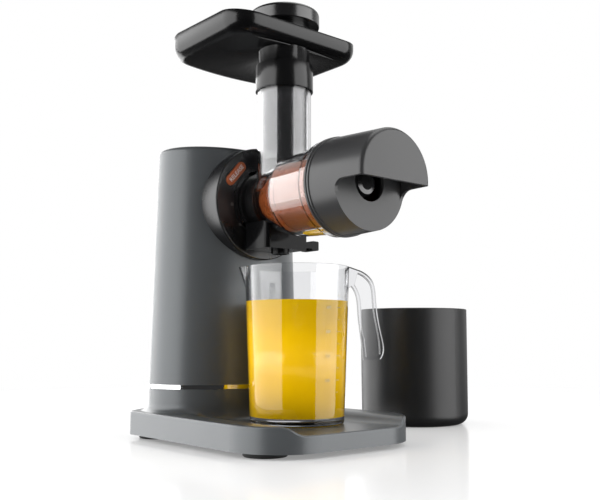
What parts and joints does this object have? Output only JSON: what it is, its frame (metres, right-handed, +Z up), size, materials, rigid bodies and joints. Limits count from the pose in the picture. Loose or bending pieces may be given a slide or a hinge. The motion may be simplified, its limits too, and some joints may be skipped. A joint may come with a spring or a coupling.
{
  "type": "cold press juicer",
  "caption": "Horizontal-auger cold press juicer with upright oval drive tower, feed chute with tray and pusher, clear chamber, juice jug and separate pulp bin.",
  "frame": {"origin": "on the ground, in the middle of the footprint of the juicer with its bin", "axes": "+X along the auger, from the tower to the end cap; +Y towards the bin; +Z up"},
  "size_m": [0.2802, 0.3503, 0.372],
  "materials": {
    "graphite_plastic": "satin",
    "black_plastic": "gloss",
    "charcoal_plastic": "satin",
    "clear_plastic": "clear",
    "amber_plastic": "translucent",
    "strainer_metal": "perforated",
    "chrome_band": "polished",
    "copper_button": "satin",
    "rubber_black": "matte",
    "steel": "machined",
    "screw_steel": "zinc",
    "gear_nylon": "moulded",
    "brass_bush": "sintered",
    "board_green": "satin"
  },
  "bodies": {
    "stand": {"base_housing": "graphite_plastic", "bottom_cover": "charcoal_plastic", "cover_screws": "screw_steel", "rubber_feet": "rubber_black", "trim_band": "chrome_band", "tower_housing": "graphite_plastic", "drive_bezel": "black_plastic", "shaft_seal": "rubber_black", "button_spring": "steel", "motor_can": "steel", "motor_rear_bell": "gear_nylon", "motor_magnets": "steel", "motor_bushes": "brass_bush", "gearbox_rear_plate": "steel", "gearbox_front_plate": "steel", "plate_spacers": "steel", "plate_screws": "screw_steel", "gear_axle_pins": "steel", "shaft_bearings": "brass_bush", "board_posts": "gear_nylon", "control_board": "board_green", "switch_frame": "black_plastic", "cord_gland": "charcoal_plastic"},
    "motor_rotor": {"motor_shaft": "steel", "armature": "steel", "motor_pinion": "steel", "cooling_fan": "gear_nylon"},
    "first_gear_body": {"first_gear": "gear_nylon"},
    "second_gear_body": {"second_gear": "gear_nylon"},
    "drive_line": {"output_gear": "gear_nylon", "drive_shaft": "steel", "auger": "black_plastic"},
    "chamber": {"juicing_chamber": "clear_plastic", "bayonet_collar": "black_plastic", "front_seal": "rubber_black", "spout_housing": "black_plastic", "spout_nozzle": "black_plastic", "strainer_cage": "amber_plastic", "strainer_mesh": "strainer_metal"},
    "cap": {"end_cap": "charcoal_plastic"},
    "drip_gate": {"drip_stop_gate": "black_plastic"},
    "tray": {"hopper_tray": "black_plastic"},
    "pusher": {"pusher_knob": "black_plastic", "pusher_shaft": "black_plastic"},
    "jug": {"juice_jug": "clear_plastic"},
    "pulp_bin_body": {"pulp_bin": "charcoal_plastic"},
    "rocker": {"power_rocker": "black_plastic"},
    "button": {"release_button": "copper_button"}
  },
  "joints": [
    {"name": "motor_turn", "type": "hinge", "parent": "stand", "child": "motor_rotor", "pos_m": [-0.09215, -0.09165, 0.0875], "axis": [1, 0, 0], "continuous": true},
    {"name": "first_gear_turn", "type": "hinge", "parent": "stand", "child": "first_gear_body", "pos_m": [-0.06215, -0.09165, 0.1235], "axis": [1, 0, 0], "continuous": true},
    {"name": "second_gear_turn", "type": "hinge", "parent": "stand", "child": "second_gear_body", "pos_m": [-0.06215, -0.09165, 0.161], "axis": [1, 0, 0], "continuous": true},
    {"name": "auger_turn", "type": "hinge", "parent": "stand", "child": "drive_line", "pos_m": [0.00785, -0.09165, 0.206], "axis": [1, 0, 0], "continuous": true},
    {"name": "chamber_twist", "type": "hinge", "parent": "stand", "child": "chamber", "pos_m": [-0.02915, -0.09165, 0.206], "axis": [1, 0, 0], "range_deg": [0, 33]},
    {"name": "end_cap_twist", "type": "hinge", "parent": "chamber", "child": "cap", "pos_m": [0.08485, -0.09165, 0.206], "axis": [1, 0, 0], "range_deg": [0, 60]},
    {"name": "drip_stop_slide", "type": "slide", "parent": "chamber", "child": "drip_gate", "axis": [0, 1, 0], "range_m": [0, 0.013]},
    {"name": "tray_lift", "type": "slide", "parent": "chamber", "child": "tray", "axis": [0, 0, 1], "range_m": [0, 0.05]},
    {"name": "pusher_lift", "type": "slide", "parent": "tray", "child": "pusher", "axis": [0, 0, 1], "range_m": [0, 0.11]},
    {"name": "jug_pull", "type": "slide", "parent": "stand", "child": "jug", "axis": [1, 0, 0], "range_m": [0, 0.1]},
    {"name": "bin_lift", "type": "slide", "parent": "stand", "child": "pulp_bin_body", "axis": [0, 0, 1], "range_m": [0, 0.15]},
    {"name": "rocker_tilt", "type": "hinge", "parent": "stand", "child": "rocker", "pos_m": [-0.12774, -0.09165, 0.15], "axis": [0, 1, 0], "range_deg": [0, 20]},
    {"name": "release_press", "type": "slide", "parent": "stand", "child": "button", "axis": [-1, 0, 0], "range_m": [0, 0.0025], "stiffness_N_per_m": 800}
  ],
  "couplings": [
    {"joint": "first_gear_turn", "follows": "motor_turn", "ratio": -0.2},
    {"joint": "second_gear_turn", "follows": "motor_turn", "ratio": 0.05},
    {"joint": "auger_turn", "follows": "motor_turn", "ratio": -0.0125}
  ]
}
